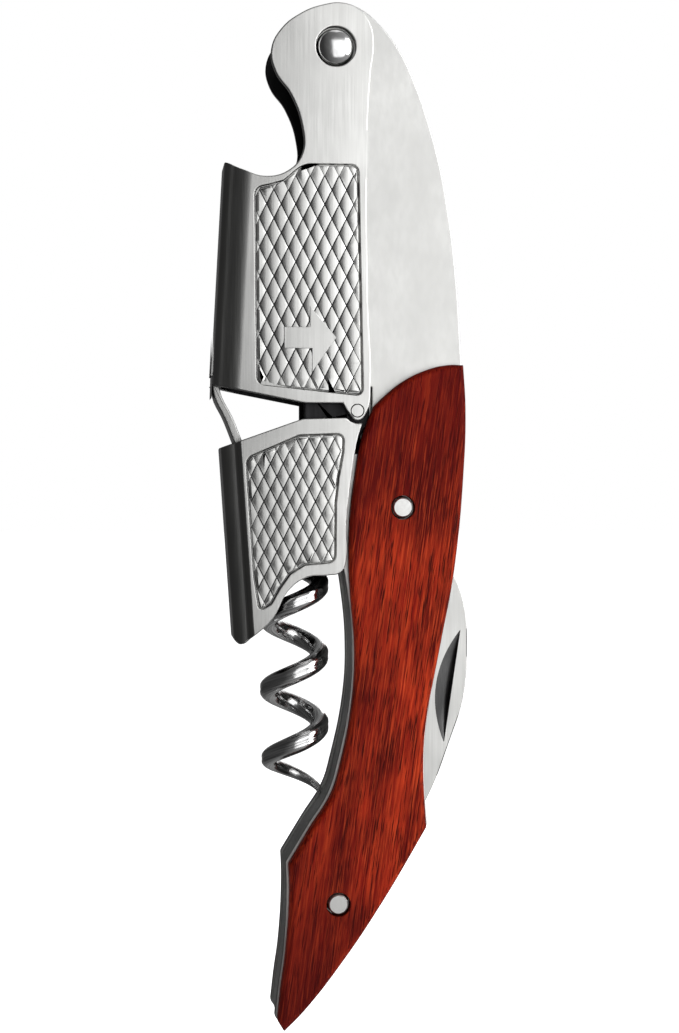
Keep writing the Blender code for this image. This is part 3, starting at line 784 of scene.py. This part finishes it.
class CORKSCREW_OT_stage(bpy.types.Operator):
    """Pale floor, soft light and the camera."""
    bl_idname = "corkscrew.stage"
    bl_label = "Stage"

    def execute(self, context):
        scene = context.scene
        sizes = scene.corkscrew_stage
        low, high = CAD_BOX
        middle = (low + high) / 2
        work = bmesh.new()
        bmesh.ops.create_grid(work, x_segments=1, y_segments=1, size=FLOOR_REACH)
        bmesh.ops.translate(work, verts=work.verts, vec=(0, 0, low.z - FLOOR_DROP))
        floor = as_object(work, "floor")
        floor.visible_glossy = False
        made, tree, shader, coords = new_material("matt_white_paper")
        dust = grain(tree, coords, (40, 40, 40), 2.0)
        tree.links.new(mix(tree, ramp(tree, dust, 0.3, 0.7, 0.0, 1.0), "F6F6F6", "FCFCFC"),
                       shader.inputs["Base Color"])
        shader.inputs["Roughness"].default_value = 0.9
        shader.inputs["Emission Color"].default_value = linear("FFFFFF")
        shader.inputs["Emission Strength"].default_value = 1.0
        floor.data.materials.append(made)
        for name, place, size, power in SOFTBOXES:
            softbox(name, place, size, sizes.key if power is None else power, middle)
        world = bpy.data.worlds.new("studio_room")
        world.use_nodes = True
        tree = world.node_tree
        tree.nodes.clear()
        coords = add(tree, "TexCoord", {})
        split = add(tree, "SeparateXYZ", {}, {"Vector": coords.outputs["Generated"]})
        room = ramp(tree, split.outputs["X"], -0.6, 0.8, 0.05, 0.42)
        path = add(tree, "LightPath", {})
        shade = add(tree, "Background", {"Color": linear("FFFFFF")}, {"Strength": room})
        white = add(tree, "Background", {"Color": linear("FFFFFF"), "Strength": 1.0})
        both = add(tree, "MixShader", {}, {0: path.outputs["Is Camera Ray"], 1: shade.outputs[0],
                                           2: white.outputs[0]})
        add(tree, "OutputWorld", {}, {"Surface": both.outputs[0]})
        scene.world = world
        scene.view_settings.view_transform = "Standard"
        data = bpy.data.cameras.new("studio_camera")
        data.sensor_fit = "VERTICAL"
        data.sensor_height = 24
        data.lens = sizes.lens
        data.clip_start = 0.01
        camera = bpy.data.objects.new("studio_camera", data)
        scene.collection.objects.link(camera)
        place = Vector(sizes.camera)
        camera.location = middle + place
        camera.rotation_euler = (-place).to_track_quat("-Z", "Y").to_euler()
        scene.camera = camera
        return {"FINISHED"}


def softbox(name, place, size, power, target):
    """A rectangular light: place and size in millimetres, facing the target."""
    data = bpy.data.lights.new(name, "AREA")
    data.shape = "RECTANGLE"
    data.size, data.size_y = size[0] * MM, size[1] * MM
    data.energy = power
    light = bpy.data.objects.new(name, data)
    bpy.context.scene.collection.objects.link(light)
    light.location = Vector(place) * MM
    light.rotation_euler = (target - light.location).to_track_quat("-Z", "Y").to_euler()
    light.visible_camera = False


class CORKSCREW_PT_pieces(bpy.types.Panel):
    """Lists the operators and the sizes."""
    bl_label = "Waiter's corkscrew"
    bl_space_type = "VIEW_3D"
    bl_region_type = "UI"
    bl_category = "Corkscrew"

    def draw(self, context):
        for operator in OPERATORS:
            self.layout.operator(operator.bl_idname)
        for group in GROUPS:
            settings = getattr(context.scene, group)
            for name in settings.bl_rna.properties.keys()[2:]:
                self.layout.prop(settings, name)


GROUPS = {"corkscrew_steel": SteelSizes, "corkscrew_grip": GripSizes, "corkscrew_wood": WoodSizes,
          "corkscrew_stage": StageSizes}
OPERATORS = [CORKSCREW_OT_handle_steel, CORKSCREW_OT_wood_scales, CORKSCREW_OT_first_lever,
             CORKSCREW_OT_second_lever, CORKSCREW_OT_worm, CORKSCREW_OT_knife, CORKSCREW_OT_pins,
             CORKSCREW_OT_stage]
CLASSES = list(GROUPS.values()) + OPERATORS + [CORKSCREW_PT_pieces]
LOOKS = {}


def register():
    for item in CLASSES:
        bpy.utils.register_class(item)
    for name, group in GROUPS.items():
        setattr(bpy.types.Scene, name, PointerProperty(type=group))


def unregister():
    for name in GROUPS:
        delattr(bpy.types.Scene, name)
    for item in reversed(CLASSES):
        bpy.utils.unregister_class(item)


def main():
    register()
    LOOKS.update(make_materials())
    bpy.ops.corkscrew.handle_steel()
    bpy.ops.corkscrew.wood_scales()
    bpy.ops.corkscrew.first_lever()
    bpy.ops.corkscrew.second_lever()
    bpy.ops.corkscrew.worm()
    bpy.ops.corkscrew.knife()
    bpy.ops.corkscrew.pins()
    bpy.ops.corkscrew.stage()


if __name__ == "__main__":
    main()
